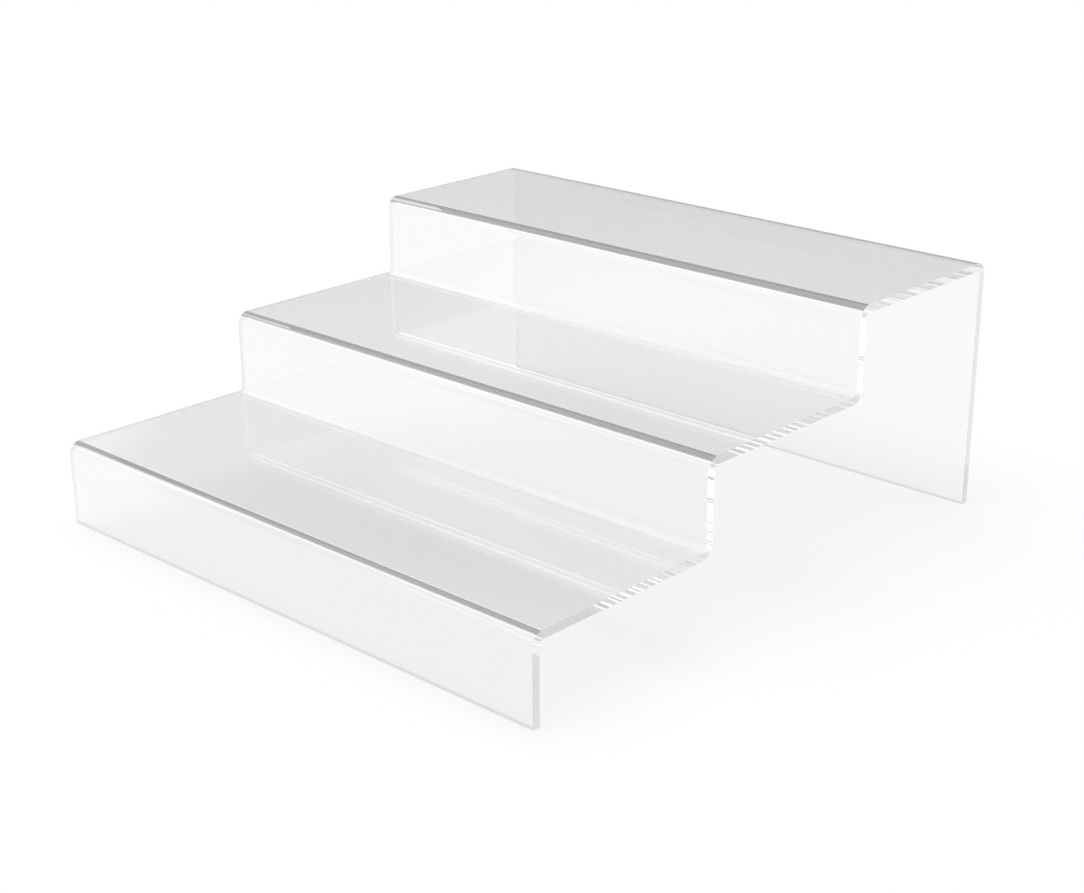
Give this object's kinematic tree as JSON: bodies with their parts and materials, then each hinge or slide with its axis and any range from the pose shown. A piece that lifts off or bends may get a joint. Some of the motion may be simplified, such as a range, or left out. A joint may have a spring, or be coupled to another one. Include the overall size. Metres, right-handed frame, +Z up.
{
  "type": "tiered shelf riser",
  "caption": "Clear acrylic shelf riser bent from a sheet into broad steps that climb from a short front leg to a tall back leg, open at both ends, for showing jars and small goods.",
  "frame": {"origin": "on the floor plane, in the middle of the footprint", "axes": "+Z up, +Y from the short front leg towards the tall back leg, X along the width of the treads"},
  "size_m": [0.3, 0.309, 0.1215],
  "materials": {
    "clear_acrylic": "clear polished cast acrylic"
  },
  "bodies": {
    "root": {"front_leg": "clear_acrylic", "front_bend": "clear_acrylic", "lower_tread": "clear_acrylic", "lower_inner_bend": "clear_acrylic", "lower_riser": "clear_acrylic", "middle_outer_bend": "clear_acrylic", "middle_tread": "clear_acrylic", "upper_inner_bend": "clear_acrylic", "upper_riser": "clear_acrylic", "upper_outer_bend": "clear_acrylic", "top_tread": "clear_acrylic", "rear_bend": "clear_acrylic", "back_leg": "clear_acrylic"}
  },
  "joints": []
}
